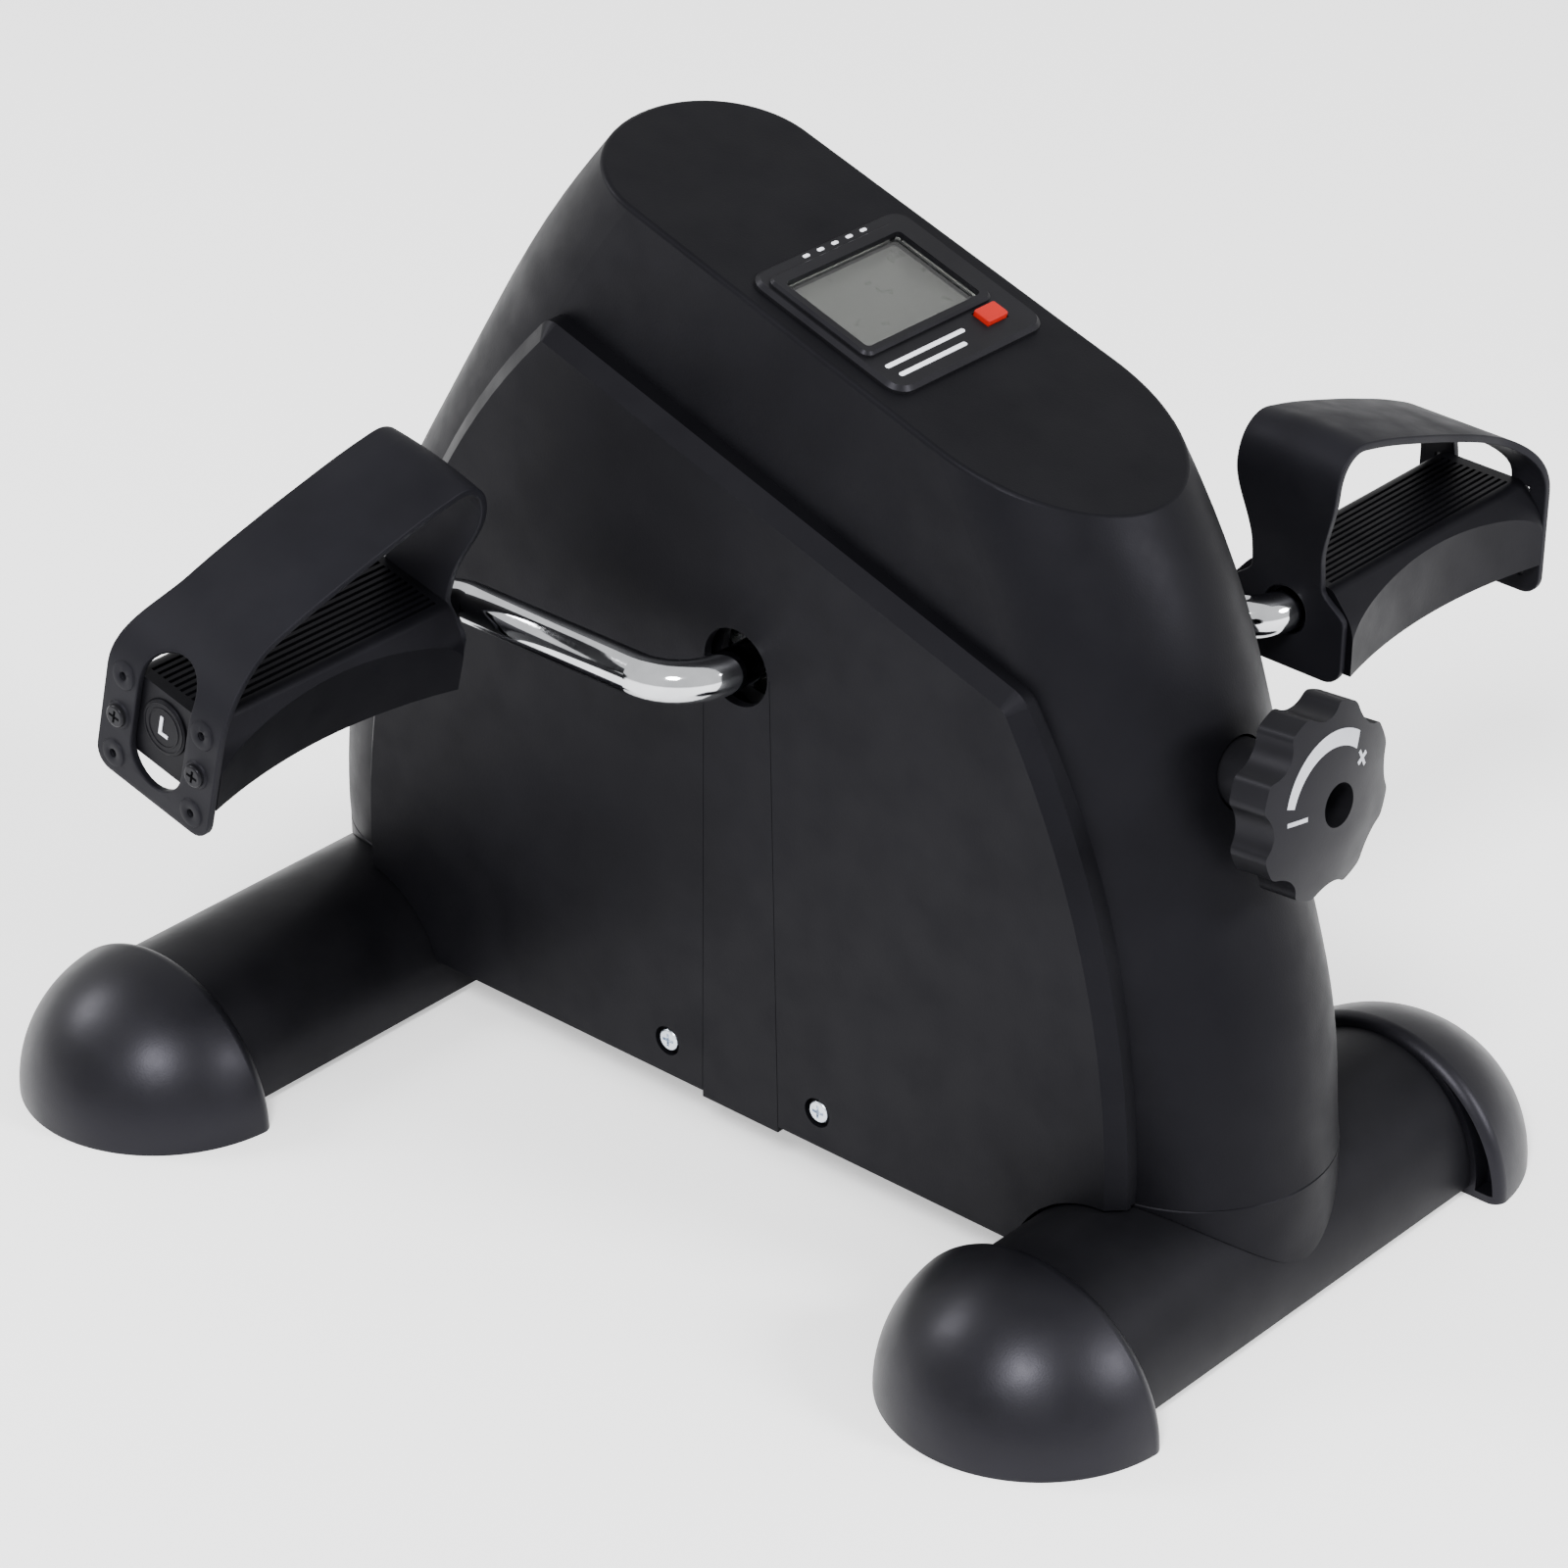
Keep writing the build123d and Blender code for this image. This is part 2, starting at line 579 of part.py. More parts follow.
# ---- pedals, drawn with the spindle along X at y = z = 0 ----
def pedal_block():
    mid = (PEDAL_IN + PEDAL_OUT) / 2
    front = ThreePointArc((PEDAL_IN, -PEDAL_HALF), (mid, -PEDAL_WAIST), (PEDAL_OUT, -PEDAL_HALF))
    rear = ThreePointArc((PEDAL_OUT, PEDAL_HALF), (mid, PEDAL_WAIST), (PEDAL_IN, PEDAL_HALF))
    plan = make_face([front, Line(front @ 1, rear @ 0), rear, Line(rear @ 1, front @ 0)])
    corners = [
        (-PEDAL_HALF, BLOCK_FOOT),
        (PEDAL_HALF, BLOCK_FOOT),
        (PEDAL_HALF, 1),
        (TREAD_HALF, TREAD_Z),
        (-TREAD_HALF, TREAD_Z),
        (-PEDAL_HALF, 1),
    ]
    section = make_face(Polyline(*corners, close=True))
    edges_of_tread = [v for v in section.vertices() if v.Y > TREAD_Z - 1]
    section = fillet(edges_of_tread, 4)
    shoulders = [v for v in section.vertices() if abs(v.X) > PEDAL_HALF - 0.1 and v.Y > 0]
    section = fillet(shoulders, 14)
    body = extrude(plan, 60, both=True) & prism_x(section, PEDAL_IN, PEDAL_OUT)
    for i in range(GROOVES):
        y = (i - (GROOVES - 1) / 2) * GROOVE_PITCH
        body -= block(PEDAL_IN + 3, PEDAL_OUT - 4, y - 0.55, y + 0.55, TREAD_Z - 1.1, TREAD_Z + 1)
    body -= rod_x(ROD_R + RUN_FIT, PEDAL_IN - 1, NUT_X[1], 0, 0)
    body -= rod_x(BADGE_R, NUT_X[0] - GAP, PEDAL_OUT + 1, 0, 0)
    for y in (-STRAP_SCREW_Y, STRAP_SCREW_Y):
        body -= rod_x(1.6, PEDAL_OUT - 12, PEDAL_OUT + 1, y, STRAP_SCREW_Z)
    return body


def strap_profile():
    """Side view (x, z) of the strap: outer plate, arch over the foot, inner plate."""
    outer = PEDAL_OUT + STRAP_THICK / 2
    inner = PEDAL_IN - STRAP_THICK / 2
    arch = Spline(
        (outer, 10),
        (170, 25.5),
        (152, 35),
        (134, 42),
        (114, 48.5),
        (95, 54),
        (85, 53),
        (80.1, 42),
        (inner, 12),
        tangents=[(0, 1), (0, -1)],
    )
    lines = Line((outer, STRAP_FOOT), (outer, 10)) + arch + Line((inner, 12), (inner, STRAP_HEEL))
    return trace(lines, STRAP_THICK)


def strap_front():
    """The strap's outline seen from its outer side (y, z)."""
    half = [
        (0, STRAP_FOOT),
        (PEDAL_HALF - 6, STRAP_FOOT),
        (PEDAL_HALF, STRAP_FOOT + 5),
        (PEDAL_HALF, 12),
        (STRAP_HALF, 34),
        (STRAP_HALF, 60),
        (0, 60),
    ]
    right = make_face(Polyline(*half, close=True))
    return right + mirror(right, about=Plane.YZ)


def strap_back():
    """Its outline seen from the inner side (y, z): a wide plate below a narrow neck."""
    half = [
        (0, STRAP_HEEL),
        (STRAP_HEEL_HALF - 6, STRAP_HEEL),
        (STRAP_HEEL_HALF, STRAP_HEEL + 5),
        (STRAP_HEEL_HALF, 2),
        (STRAP_HEEL_HALF - 3, 6),
        (STRAP_NECK, 10),
        (STRAP_NECK, 20),
        (STRAP_HALF, 42),
        (STRAP_HALF, 60),
        (0, 60),
    ]
    right = make_face(Polyline(*half, close=True))
    return right + mirror(right, about=Plane.YZ)


def pedal_strap():
    band = extrude(Plane.XZ * strap_profile(), 30, both=True)
    mid = (PEDAL_IN + PEDAL_OUT) / 2
    outer = band & prism_x(strap_front(), mid, PEDAL_OUT + 10)
    inner = band & prism_x(strap_back(), PEDAL_IN - 10, mid)
    strap = outer + inner
    strap -= prism_x(Pos(0, 1.5) * SlotOverall(43, 20.6, rotation=90), PEDAL_OUT - 20, PEDAL_OUT + 10)
    strap -= rod_x(ROD_R + 1.5, PEDAL_IN - 10, PEDAL_IN + 5, 0, 0)
    for y in (-STRAP_SCREW_Y, STRAP_SCREW_Y):
        for step, radius in ((-1, 1.1), (0, 1.6), (1, 1.1)):
            z = STRAP_SCREW_Z + step * STRAP_HOLE_STEP
            strap -= rod_x(radius, PEDAL_OUT - 5, PEDAL_OUT + 10, y, z)
    return strap


def strap_screws():
    screws = []
    for y in (-STRAP_SCREW_Y, STRAP_SCREW_Y):
        screw = Rot(0, 90, 0) * cross_screw(3.4, 1.8, 1.6, 12)
        screws.append(Pos(PEDAL_OUT + STRAP_THICK + 1.8, y, STRAP_SCREW_Z) * screw)
    return screws


def pedal_badge():
    badge = rod_x(BADGE_R, NUT_X[1] + 3, PEDAL_OUT + 0.8, 0, 0)
    return fillet(badge.edges().group_by(Axis.X)[-1], 0.6)


def place_pedal(shape, name, side):
    """Turn a pedal piece to its resting tilt and carry it to its spindle."""
    y = CRANK_Y - side * CRANK_THROW
    return Pos(0, y, CRANK_Z) * Rot(PEDAL_TILT[name], 0, 0) * side_of(shape, side)


# ---- write the nodes ----
save("main_cover", main_cover())
save("base_tray", base_tray())
for name, (y, face_x) in LEGS.items():
    save(f"{name}_leg", leg_bar(y, face_x))
    for side_name, side in SIDES.items():
        save(f"{name}_{side_name}_foot", side_of(Pos(face_x, y, 0) * foot_cap(), side))

for side_name, side in SIDES.items():
    save(f"slot_cover_{side_name}", side_of(slot_cover(), side))

screws = []
for side in SIDES.values():
    for y, z in SCREW_YZ:
        screw = Rot(0, 90, 0) * cross_screw(SCREW_HEAD_R, 2, 2, 15)
        screws.append(side_of(Pos(SCREW_SEAT_X + 2, y, z) * screw, side))
save("cover_screws", *screws)

save("frame_beam", frame_beam())
save("crank_post", crank_post())
save("bottom_bracket_shell", ring_x(SHELL_R, BEARING_R, *SHELL_X, CRANK_Y, CRANK_Z))
for name, x in {"left": SHELL_X[0], "right": SHELL_X[1] - 8}.items():
    save(f"crank_bearing_{name}", ring_x(BEARING_R, ROD_R + RUN_FIT, x, x + 8, CRANK_Y, CRANK_Z))

bolts = []
nuts = []
for y in (-LEG_Y, LEG_Y):
    head = extrude(RegularPolygon(6.5, 6, major_radius=False), 5.3)
    bolt = head + Pos(0, 0, -17) * Cylinder(4, 34)
    bolts.append(Pos(0, y, BEAM_TOP) * bolt)
    nut = extrude(RegularPolygon(6.5, 6, major_radius=False), 6.5) - Cylinder(4, 20)
    nuts.append(Pos(0, y, LEG_AXIS_Z + LEG_R - LEG_WALL - 7.4) * nut)
save("leg_bolts", *bolts)
save("leg_nuts", *nuts)
tray_screw = Pos(0, 0, TRAY_Z + 0.3) * Rot(180, 0, 0) * cross_screw(4.6, 2.2, 2.4, 29)
save("tray_screws", *[Pos(0, y, 0) * tray_screw for y in TRAY_SCREW_Y])

save("crank", crank())
save("drive_pulley", drive_pulley())
save("drive_belt", drive_belt())
save("flywheel_bracket", flywheel_bracket())
save("flywheel_axle", rod_x(SCREW_R, -38, 34, WHEEL_Y, WHEEL_Z))
save(
    "axle_nuts",
    Pos(CHEEK_RIGHT[1], WHEEL_Y, WHEEL_Z) * hex_nut(13, 4, SCREW_R),
    Pos(CHEEK_LEFT[0] - 4, WHEEL_Y, WHEEL_Z) * hex_nut(13, 4, SCREW_R),
)
save("flywheel", flywheel())
save("flywheel_pulley", flywheel_pulley())
save("flywheel_bearings", flywheel_bearing(-27), flywheel_bearing(15))

save("tension_bracket", tension_bracket())
save("tension_knob", tension_knob())
save("tension_screw", tension_screw())
save("screw_clip", screw_clip())
save("brake_carrier", brake_carrier())
save("brake_magnets", *brake_magnets())

magnet_y = CRANK_Y + 46 * math.cos(math.radians(45))
magnet_z = CRANK_Z + 46 * math.sin(math.radians(45))
save("sensor_magnet", rod_x(3, BELT_X[0] - 3.5, BELT_X[0] - 1, magnet_y, magnet_z))
save("reed_sensor", block(-4, 5, CRANK_Y - 5, CRANK_Y + 5, CRANK_Z - 53, CRANK_Z - 39))
save("sensor_lead", sensor_lead())

save("console_bezel", console_bezel())
save("console_lens", console_lens())
save("lcd_panel", lcd_panel())
save("circuit_board", circuit_board())
save("button_switch", button_switch())
save("battery", battery())
save("reset_button", reset_button())

for name, side in SIDES.items():
    save(f"{name}_pedal_block", place_pedal(pedal_block(), name, side))
    save(f"{name}_pedal_strap", place_pedal(pedal_strap(), name, side))
    save(f"{name}_strap_screws", *[place_pedal(s, name, side) for s in strap_screws()])
    save(f"{name}_pedal_badge", place_pedal(pedal_badge(), name, side))
    nut = Pos(NUT_X[0], 0, 0) * hex_nut(14, 5, ROD_R)
    save(f"{name}_pedal_nut", place_pedal(nut, name, side))
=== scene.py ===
import json
import math
import bmesh
import bpy
from mathutils import Matrix, Vector


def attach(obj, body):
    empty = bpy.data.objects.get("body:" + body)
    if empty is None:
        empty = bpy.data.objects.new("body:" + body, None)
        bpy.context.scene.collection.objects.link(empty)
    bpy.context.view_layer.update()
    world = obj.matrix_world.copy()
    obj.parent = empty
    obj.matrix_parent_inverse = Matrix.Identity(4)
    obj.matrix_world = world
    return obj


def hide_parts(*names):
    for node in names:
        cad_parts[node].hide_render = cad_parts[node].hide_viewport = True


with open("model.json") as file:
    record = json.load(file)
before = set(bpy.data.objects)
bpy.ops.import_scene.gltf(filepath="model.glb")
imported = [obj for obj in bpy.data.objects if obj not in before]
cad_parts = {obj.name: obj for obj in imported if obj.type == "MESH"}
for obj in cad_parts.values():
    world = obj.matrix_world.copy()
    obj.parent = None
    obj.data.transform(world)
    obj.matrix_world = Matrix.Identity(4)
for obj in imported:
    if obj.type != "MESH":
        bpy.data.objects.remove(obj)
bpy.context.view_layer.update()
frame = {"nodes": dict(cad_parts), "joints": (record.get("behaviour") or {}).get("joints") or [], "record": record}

MM = 0.001

# pedals: local x runs outward along the spindle, y across the tread, z up out of the tread
PEDAL_TILT = {"left": 13.9, "right": 1.0}
PEDAL_SIDE = {"left": -1, "right": 1}
STRAP_THICK = 2.4 * MM
STRAP_EDGE = 0.45 * MM         # rounding of its rims
STRAP_CORNER = 6 * MM          # rounding of its two ends' corners
STRAP_CROWN = 1.2 * MM         # how far the band bows across its width, over the foot
PLATE_HALF = 23 * MM           # half widths: outer plate, band over the foot, neck, inner plate
BAND_HALF = 17.8 * MM
NECK_HALF = 12.5 * MM
HEEL_HALF = 21 * MM
SLOT_HALF = 10.3 * MM          # oval window in the outer plate: half width, and its two ends
SLOT_ENDS = (5.5 * MM, 49.5 * MM)
SPINDLE_HOLE_R = 7.6 * MM
STRAP_FOOT = -25.5 * MM        # lower end of the strap's outer plate, below the spindle
STRAP_HEEL = -18 * MM          # lower end of its inner plate
STRAP_SCREW_Z = -5.1 * MM
STRAP_SCREW_Y = 16 * MM
HOLE_STEP = 13.7 * MM
BADGE_FACE = 179.8 * MM

# console and knob, as they stand on the cover
TOP_Z = 0.2754
TOP_SLOPE = 0.33
CONSOLE_AT = (-0.25 * MM, -30.15 * MM)
KNOB_TILT = math.radians(4)
KNOB_DOME_R = 90 * MM
PLATE_TOP = 2.2 * MM           # face of the console's plate, above the cover's top

SMOOTH_DEG = 35                # edges that turn more than this stay sharp
COOL_SHEEN = (0.88, 0.86, 1.0, 1.0)     # tint of the plastics' reflections


# ---- materials ----
def shader_material(name):
    material = bpy.data.materials.new(name)
    material.use_nodes = True
    tree = material.node_tree
    tree.nodes.clear()
    output = tree.nodes.new("ShaderNodeOutputMaterial")
    shader = tree.nodes.new("ShaderNodeBsdfPrincipled")
    tree.links.new(shader.outputs["BSDF"], output.inputs["Surface"])
    return material, tree, shader


def noise(tree, scale, detail=3.0, stretch=None):
    """Noise in the object's own metres; stretch squeezes it along each axis."""
    place = tree.nodes.new("ShaderNodeTexCoord")
    texture = tree.nodes.new("ShaderNodeTexNoise")
    texture.inputs["Scale"].default_value = scale
    texture.inputs["Detail"].default_value = detail
    source = place.outputs["Object"]
    if stretch:
        mapping = tree.nodes.new("ShaderNodeMapping")
        mapping.inputs["Scale"].default_value = stretch
        tree.links.new(source, mapping.inputs["Vector"])
        source = mapping.outputs["Vector"]
    tree.links.new(source, texture.inputs["Vector"])
    return texture.outputs["Fac"]


def remap(tree, source, low, high, start=0.3, stop=0.7):
    node = tree.nodes.new("ShaderNodeMapRange")
    node.inputs["From Min"].default_value = start
    node.inputs["From Max"].default_value = stop
    node.inputs["To Min"].default_value = low
    node.inputs["To Max"].default_value = high
    tree.links.new(source, node.inputs["Value"])
    return node.outputs["Result"]


def two_tone(tree, source, dark, light):
    ramp = tree.nodes.new("ShaderNodeValToRGB")
    ramp.color_ramp.elements[0].position = 0.32
    ramp.color_ramp.elements[0].color = (*dark, 1)
    ramp.color_ramp.elements[1].position = 0.68
    ramp.color_ramp.elements[1].color = (*light, 1)
    tree.links.new(source, ramp.inputs["Fac"])
    return ramp.outputs["Color"]


def add_bump(tree, shader, source, height_mm):
    bump = tree.nodes.new("ShaderNodeBump")
    bump.inputs["Distance"].default_value = height_mm * MM
    tree.links.new(source, bump.inputs["Height"])
    tree.links.new(bump.outputs["Normal"], shader.inputs["Normal"])


def moulded(name, dark, light, rough, grain_mm, grain_height, specular=0.5):
    """Moulded plastic or rubber: cloudy colour and gloss, and a fine spark-eroded grain."""
    material, tree, shader = shader_material(name)
    clouds = noise(tree, 28, 4)
    tree.links.new(two_tone(tree, clouds, dark, light), shader.inputs["Base Color"])
    smudge = noise(tree, 75, 5)
    tree.links.new(remap(tree, smudge, *rough), shader.inputs["Roughness"])
    shader.inputs["Specular IOR Level"].default_value = specular
    shader.inputs["Specular Tint"].default_value = COOL_SHEEN
    add_bump(tree, shader, noise(tree, 1 / (grain_mm * MM), 2), grain_height)
    return material


def painted(name, dark, light, rough):
    """Powder-coated steel: orange-peel surface under a thin gloss."""
    material, tree, shader = shader_material(name)
    tree.links.new(two_tone(tree, noise(tree, 35, 4), dark, light), shader.inputs["Base Color"])
    tree.links.new(remap(tree, noise(tree, 60, 5), *rough), shader.inputs["Roughness"])
    shader.inputs["Specular IOR Level"].default_value = 0.09
    shader.inputs["Specular Tint"].default_value = COOL_SHEEN
    shader.inputs["Coat Weight"].default_value = 0.02
    shader.inputs["Coat Roughness"].default_value = 0.3
    add_bump(tree, shader, noise(tree, 420, 1.5), 0.02)
    return material


def metal(name, dark, light, rough, stretch=(1, 1, 1), scratch=0.004):
    """Plated or machined metal with fine scratches along the stretched axis."""
    material, tree, shader = shader_material(name)
    tree.links.new(two_tone(tree, noise(tree, 90, 4), dark, light), shader.inputs["Base Color"])
    shader.inputs["Metallic"].default_value = 1.0
    scratches = noise(tree, 900, 3, stretch)
    tree.links.new(remap(tree, scratches, *rough), shader.inputs["Roughness"])
    add_bump(tree, shader, scratches, scratch)
    return material


def clear_plastic(name):
    material, tree, shader = shader_material(name)
    shader.inputs["Base Color"].default_value = (0.92, 0.94, 0.93, 1)
    shader.inputs["Transmission Weight"].default_value = 1.0
    shader.inputs["IOR"].default_value = 1.49
    tree.links.new(remap(tree, noise(tree, 50, 4), 0.03, 0.09), shader.inputs["Roughness"])
    return material


def display(name):
    """Reflective grey-green display glass, its tone varying a little at random."""
    material, tree, shader = shader_material(name)
    glow = two_tone(tree, noise(tree, 30, 2), (0.044, 0.045, 0.038), (0.052, 0.053, 0.045))
    tree.links.new(glow, shader.inputs["Base Color"])
    tree.links.new(remap(tree, noise(tree, 200, 3), 0.25, 0.4), shader.inputs["Roughness"])
    add_bump(tree, shader, noise(tree, 2500, 1), 0.0006)
    return material


PLASTICS = {
    # slot: dark and light tone, roughness, grain size and height in mm, specular level
    "cover_plastic": ((0.002, 0.002, 0.0026), (0.0031, 0.0031, 0.0039), (0.42, 0.54), 0.55, 0.035, 0.08),
    "satin_plastic": ((0.0032, 0.0032, 0.0038), (0.0055, 0.0055, 0.0064), (0.34, 0.46), 0.8, 0.015, 0.12),
    "foot_plastic": ((0.0016, 0.0016, 0.0022), (0.003, 0.003, 0.004), (0.36, 0.45), 0.6, 0.02, 0.22),
    "pedal_plastic": ((0.0016, 0.0016, 0.0021), (0.0028, 0.0028, 0.0036), (0.36, 0.5), 1.0, 0.02, 0.08),
    "strap_rubber": ((0.004, 0.004, 0.0052), (0.0062, 0.0062, 0.0078), (0.46, 0.6), 0.7, 0.025, 0.09),
    "belt_rubber": ((0.008, 0.008, 0.008), (0.02, 0.02, 0.02), (0.6, 0.8), 0.4, 0.05, 0.3),
    "lead_sleeve": ((0.01, 0.01, 0.01), (0.03, 0.03, 0.03), (0.4, 0.5), 0.5, 0.01, 0.4),
    "pulley_plastic": ((0.05, 0.05, 0.055), (0.08, 0.08, 0.085), (0.4, 0.55), 0.6, 0.02, 0.4),
    "sensor_plastic": ((0.02, 0.02, 0.02), (0.04, 0.04, 0.04), (0.4, 0.5), 0.5, 0.01, 0.4),
    "red_button": ((0.24, 0.0045, 0.0025), (0.33, 0.008, 0.004), (0.36, 0.48), 0.5, 0.012, 0.14),
    "board": ((0.01, 0.09, 0.03), (0.02, 0.16, 0.06), (0.25, 0.4), 0.9, 0.02, 0.5),
}
PAINTS = {
    # slot: dark and light tone, roughness
    "black_paint": ((0.0024, 0.0024, 0.003), (0.0042, 0.0042, 0.005), (0.38, 0.48)),
    "frame_paint": ((0.02, 0.02, 0.022), (0.035, 0.035, 0.038), (0.3, 0.42)),
    "black_screw": ((0.004, 0.004, 0.005), (0.01, 0.01, 0.011), (0.2, 0.34)),
}
METALS = {
    # slot: dark and light tone, roughness, scratch direction, scratch height in mm
    "chrome_rod": ((0.5, 0.51, 0.53), (0.62, 0.63, 0.65), (0.05, 0.1), (0.15, 1, 1), 0.001),
    "zinc_steel": ((0.5, 0.55, 0.62), (0.7, 0.75, 0.82), (0.22, 0.38), (1, 1, 1), 0.004),
    "bearing_steel": ((0.4, 0.4, 0.41), (0.55, 0.55, 0.56), (0.15, 0.3), (1, 0.2, 0.2), 0.004),
    "cast_iron": ((0.1, 0.1, 0.1), (0.2, 0.2, 0.2), (0.4, 0.6), (1, 0.3, 0.3), 0.02),
    "magnet": ((0.35, 0.34, 0.32), (0.5, 0.49, 0.46), (0.2, 0.35), (1, 1, 1), 0.004),
    "cell": ((0.5, 0.5, 0.5), (0.65, 0.65, 0.65), (0.2, 0.3), (1, 0.1, 1), 0.004),
}
MATERIALS = {"clear_lens": clear_plastic("clear_lens"), "lcd": display("lcd")}
for kind, make in ((PLASTICS, moulded), (PAINTS, painted), (METALS, metal)):
    for slot, values in kind.items():
        MATERIALS[slot] = make(slot, *values)
MARKING = moulded("white_print", (0.62, 0.63, 0.68), (0.74, 0.75, 0.8), (0.4, 0.55), 0.3, 0.004)

for row in frame["record"]["subparts"]:
    node = frame["nodes"][row["node"]]
    node.data.materials.clear()
    node.data.materials.append(MATERIALS[row["material_slot"]])


# ---- helpers for new pieces ----
def add_piece(name, mesh, material, body):
    mesh.materials.clear()
    mesh.materials.append(material)
    mesh.shade_smooth()
    mesh.set_sharp_from_angle(angle=math.radians(SMOOTH_DEG))
    piece = bpy.data.objects.new(name, mesh)
    bpy.context.scene.collection.objects.link(piece)
    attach(piece, body)
    return piece


def mesh_of(curve):
    """The mesh of a curve or text, as it is drawn."""
    holder = bpy.data.objects.new(curve.name, curve)
    bpy.context.scene.collection.objects.link(holder)
    bpy.context.view_layer.update()
    drawn = holder.evaluated_get(bpy.context.evaluated_depsgraph_get())
    mesh = bpy.data.meshes.new_from_object(drawn)
    bpy.data.objects.remove(holder)
    return mesh


def flat_solid(outlines, thickness, edge, resolution=2):
    """A flat solid with rounded rims from closed outlines in (x, y); inner ones are holes."""
    curve = bpy.data.curves.new("outline", "CURVE")
    curve.dimensions = "2D"
    curve.fill_mode = "BOTH"
    curve.extrude = thickness / 2 - edge
    curve.bevel_depth = edge
    curve.bevel_resolution = resolution
    curve.offset = -edge
    for outline in outlines:
        spline = curve.splines.new("POLY")
        spline.points.add(len(outline) - 1)
        for point, (x, y) in zip(spline.points, outline):
            point.co = (x, y, 0, 1)
        spline.use_cyclic_u = True
    mesh = mesh_of(curve)
    solid = bmesh.new()
    solid.from_mesh(mesh)
    bmesh.ops.remove_doubles(solid, verts=solid.verts, dist=1e-6)
    bpy.data.meshes.remove(mesh)
    return solid


def to_mesh(name, solid):
    bmesh.ops.recalc_face_normals(solid, faces=solid.faces)
    mesh = bpy.data.meshes.new(name)
    solid.to_mesh(mesh)
    solid.free()
    return mesh


def bridge(solid, loops):
    """Join each closed loop of vertices to the next one."""
    for a, b in zip(loops, loops[1:]):
        for i in range(len(a)):
            j = (i + 1) % len(a)
            solid.faces.new((a[i], a[j], b[j], b[i]))


def slice_at(solid, point, normal):
    """Add a row of edges where a plane crosses the solid."""
    geometry = solid.verts[:] + solid.edges[:] + solid.faces[:]
    bmesh.ops.bisect_plane(solid, geom=geometry, plane_co=point, plane_no=normal, dist=1e-6)


def circle_points(cx, cy, radius, count):
    turn = 2 * math.pi / count
    return [(cx + radius * math.cos(turn * i), cy + radius * math.sin(turn * i)) for i in range(count)]


def smoothstep(t):
    t = min(max(t, 0), 1)
    return t * t * (3 - 2 * t)


def joint_place(name):
    """Where a joint turns, from the frame."""
    for joint in frame["joints"]:
        if joint["name"] == name:
            return Vector(joint["pos_m"])
    raise ValueError(name)


# ---- pedal straps ----
def strap_path():
    """The strap's side view (x, z): up the outer plate, over the foot, down the inner plate."""
    outer = 180.25 * MM
    inner = 83.25 * MM
    knots = [
        (outer, STRAP_FOOT),
        (outer, 8 * MM),
        (171.3 * MM, 25 * MM),
        (153 * MM, 34.8 * MM),
        (134.5 * MM, 41.8 * MM),
        (115 * MM, 48.3 * MM),
        (97 * MM, 53.4 * MM),
        (86.5 * MM, 53.8 * MM),
        (80.3 * MM, 44 * MM),
        (81.4 * MM, 27 * MM),
        (inner, 10 * MM),
        (inner, STRAP_HEEL),
    ]
    handles = [
        (0, 10),
        (0, 7),
        (-6, 4.6),
        (-6.5, 2.8),
        (-6.5, 2.4),
        (-6.5, 2.1),
        (-5, 1.1),
        (-3.4, -1.6),
        (-0.6, -5),
        (0.7, -6),
        (0.1, -5),
        (0, -7),
    ]
    points = []
    for i in range(len(knots) - 1):
        a, b = Vector(knots[i]), Vector(knots[i + 1])
        ha = a + Vector(handles[i]) * MM
        hb = b - Vector(handles[i + 1]) * MM
        samples = 24
        for step in range(samples):
            t = step / samples
            u = 1 - t
            points.append(a * u**3 + ha * 3 * u * u * t + hb * 3 * u * t * t + b * t**3)
    points.append(Vector(knots[-1]))
    return points


def along(points):
    """Length along a run of points, at each point."""
    total = [0.0]
    for a, b in zip(points, points[1:]):
        total.append(total[-1] + (b - a).length)
    return total


def strap_half_width(s, length):
    """Half the strap's width at a distance s from the outer plate's lower end."""
    height = length + STRAP_HEEL - s
    half = PLATE_HALF + (BAND_HALF - PLATE_HALF) * smoothstep((s - 36 * MM) / (32 * MM))
    half += (NECK_HALF - BAND_HALF) * smoothstep((44 * MM - height) / (26 * MM))
    return half + (HEEL_HALF - NECK_HALF) * smoothstep((11 * MM - height) / (9 * MM))


def strap_outline(length):
    """The strap laid flat: (s, w) along and across, with rounded ends."""
    start, stop = STRAP_CORNER, length - STRAP_CORNER
    turns = [math.pi / 2 * step / 6 for step in range(7)]
    steps = 150
    side = []
    shoulder = strap_half_width(0, length) - STRAP_CORNER
    for turn in turns:
        side.append((start - STRAP_CORNER * math.cos(turn), shoulder + STRAP_CORNER * math.sin(turn)))
    for step in range(1, steps):
        s = start + (stop - start) * step / steps
        side.append((s, strap_half_width(s, length)))
    shoulder = strap_half_width(length, length) - STRAP_CORNER
    for turn in turns:
        side.append((stop + STRAP_CORNER * math.sin(turn), shoulder + STRAP_CORNER * math.cos(turn)))
    return side + [(s, -w) for s, w in reversed(side)]


def slot_outline():
    """The long oval window in the outer plate."""
    low, high = SLOT_ENDS[0] + SLOT_HALF, SLOT_ENDS[1] - SLOT_HALF
    points = []
    for centre, start in ((high, -math.pi / 2), (low, math.pi / 2)):
        for step in range(15):
            turn = start + math.pi * step / 14
            points.append((centre + SLOT_HALF * math.cos(turn), SLOT_HALF * math.sin(turn)))
    return points


